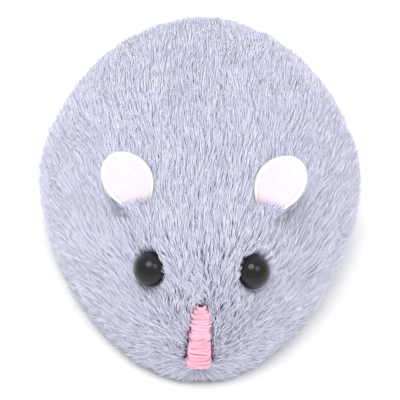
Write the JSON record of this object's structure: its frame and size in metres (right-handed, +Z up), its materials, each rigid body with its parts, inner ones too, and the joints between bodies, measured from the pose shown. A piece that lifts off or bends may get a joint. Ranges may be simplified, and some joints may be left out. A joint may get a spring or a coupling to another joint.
{
  "type": "clockwork mouse",
  "caption": "Plush-covered wind-up toy mouse with felt ears, bead eyes and a stitched nose over a spring-driven gearbox, drive wheels and a front roller.",
  "frame": {"origin": "on the floor under the middle of the object, at the bottom centre of its box", "axes": "+Z up, the nose points along -Y and the tail along +Y, +X to the right as seen from in front"},
  "size_m": [0.059, 0.09, 0.0455],
  "materials": {
    "plush": "matte",
    "hem_cloth": "matte",
    "tail_felt": "matte",
    "ear_felt": "matte",
    "ear_lining": "satin",
    "nose_thread": "satin",
    "eye_bead": "gloss",
    "body_plastic": "satin",
    "gear_plastic": "satin",
    "tyre_rubber": "matte",
    "steel": "satin",
    "spring_steel": "satin"
  },
  "bodies": {
    "chassis": {"pelt": "plush", "pelt_hem": "hem_cloth", "body_shell": "body_plastic", "base_plate": "body_plastic", "tail": "tail_felt", "nose_stitch": "nose_thread", "ear_left": "ear_felt", "ear_right": "ear_felt", "ear_lining_left": "ear_lining", "ear_lining_right": "ear_lining", "eye_left": "eye_bead", "eye_right": "eye_bead", "eye_washer_left": "gear_plastic", "eye_washer_right": "gear_plastic", "base_screw_rear_left": "steel", "base_screw_rear_right": "steel", "base_screw_front_left": "steel", "base_screw_front_right": "steel", "gearbox_screw_rear": "steel", "gearbox_screw_front": "steel", "case_screw_top": "steel", "case_screw_front": "steel", "case_screw_rear": "steel", "gearbox_case": "gear_plastic", "gearbox_cover": "gear_plastic", "mainspring": "spring_steel", "idler_shaft": "steel", "front_axle": "steel"},
    "drive_axle": {"rear_axle": "steel", "axle_pinion": "gear_plastic", "wheel_left": "gear_plastic", "wheel_right": "gear_plastic", "tyre_left": "tyre_rubber", "tyre_right": "tyre_rubber"},
    "idler": {"idler_gear": "gear_plastic"},
    "winder": {"winding_arbor": "steel", "great_gear": "gear_plastic", "winding_key": "gear_plastic"},
    "front_wheel": {"front_roller": "gear_plastic"}
  },
  "joints": [
    {"name": "axle_spin", "type": "hinge", "parent": "chassis", "child": "drive_axle", "pos_m": [0, -0.00085, 0.0085], "axis": [1, 0, 0], "continuous": true},
    {"name": "idler_spin", "type": "hinge", "parent": "chassis", "child": "idler", "pos_m": [0, 0.00136, 0.01892], "axis": [1, 0, 0], "continuous": true},
    {"name": "winder_spin", "type": "hinge", "parent": "chassis", "child": "winder", "pos_m": [0, 0.01015, 0.0129], "axis": [1, 0, 0], "continuous": true},
    {"name": "roller_spin", "type": "hinge", "parent": "chassis", "child": "front_wheel", "pos_m": [0, -0.02835, 0.004], "axis": [1, 0, 0], "continuous": true}
  ],
  "couplings": [
    {"joint": "idler_spin", "follows": "axle_spin", "ratio": -0.4},
    {"joint": "winder_spin", "follows": "axle_spin", "ratio": 0.16}
  ]
}
